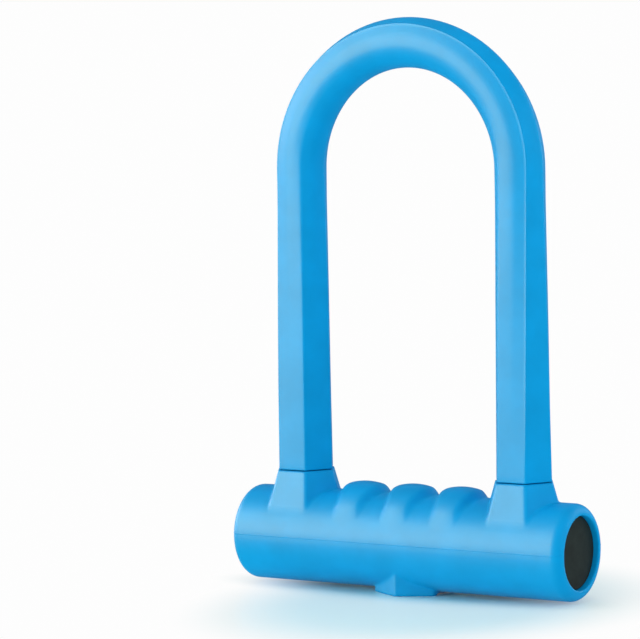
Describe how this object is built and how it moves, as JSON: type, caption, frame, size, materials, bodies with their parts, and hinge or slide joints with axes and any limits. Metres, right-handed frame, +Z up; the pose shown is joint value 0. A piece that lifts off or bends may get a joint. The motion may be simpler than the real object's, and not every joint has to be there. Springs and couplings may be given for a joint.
{
  "type": "u lock",
  "caption": "Keyed bicycle U-lock: a silicone-sleeved steel shackle that drops into a tubular crossbar with a keyed cylinder and sliding bolts.",
  "frame": {"origin": "on the ground under the middle of the lock, at the foot of the crossbar", "axes": "+X along the crossbar, -Y the front, +Z up along the shackle legs, the way the shackle pulls out"},
  "size_m": [0.165, 0.042, 0.2505],
  "materials": {
    "silicone": "sky-blue moulded silicone, satin",
    "hardened_steel": "hardened steel, ground and lightly oiled",
    "tube_steel": "zinc-plated steel",
    "plate_steel": "stainless plate, brushed",
    "spring_steel": "spring steel",
    "cast_zinc": "zinc die casting",
    "brass": "machined brass",
    "cap_plastic": "black moulded plastic, fine texture",
    "socket_nylon": "dark moulded nylon",
    "seal_rubber": "black rubber"
  },
  "bodies": {
    "crossbar": {"crossbar_tube": "tube_steel", "crossbar_sleeve": "silicone", "end_cap_left": "cap_plastic", "end_cap_right": "cap_plastic", "foot_socket_left": "socket_nylon", "foot_socket_right": "socket_nylon", "collar_seal_left": "seal_rubber", "collar_seal_right": "seal_rubber", "lock_body": "cast_zinc", "cross_pins": "spring_steel", "cylinder_screw": "spring_steel", "cylinder_housing": "brass", "driver_pins": "hardened_steel", "pin_springs": "spring_steel", "pin_cover": "brass", "escutcheon": "plate_steel"},
    "shackle": {"shackle_rod": "hardened_steel", "shackle_sleeve": "silicone"},
    "plug": {"cylinder_plug": "brass", "key_pins": "brass", "cam_disc": "tube_steel", "cam_clip": "spring_steel"},
    "bolt_left_body": {"bolt_left": "hardened_steel", "drive_pin_left": "spring_steel"},
    "bolt_right_body": {"bolt_right": "hardened_steel", "drive_pin_right": "spring_steel"},
    "shutter": {"dust_cover": "cap_plastic"}
  },
  "joints": [
    {"name": "shackle_slide", "type": "slide", "parent": "crossbar", "child": "shackle", "axis": [0, 0, 1], "range_m": [0, 0.06]},
    {"name": "plug_turn", "type": "hinge", "parent": "crossbar", "child": "plug", "pos_m": [0, 0, 0.022], "axis": [0, 0, 1], "range_deg": [0, 90]},
    {"name": "bolt_left_slide", "type": "slide", "parent": "crossbar", "child": "bolt_left_body", "axis": [-1, 0, 0], "range_m": [0, 0.0048]},
    {"name": "bolt_right_slide", "type": "slide", "parent": "crossbar", "child": "bolt_right_body", "axis": [1, 0, 0], "range_m": [0, 0.0048]},
    {"name": "dust_cover_slide", "type": "slide", "parent": "crossbar", "child": "shutter", "axis": [1, 0, 0], "range_m": [0, 0.0086]}
  ],
  "couplings": [
    {"joint": "bolt_left_slide", "follows": "plug_turn", "m_per_rad": 0.0030557},
    {"joint": "bolt_right_slide", "follows": "plug_turn", "m_per_rad": 0.0030557}
  ]
}
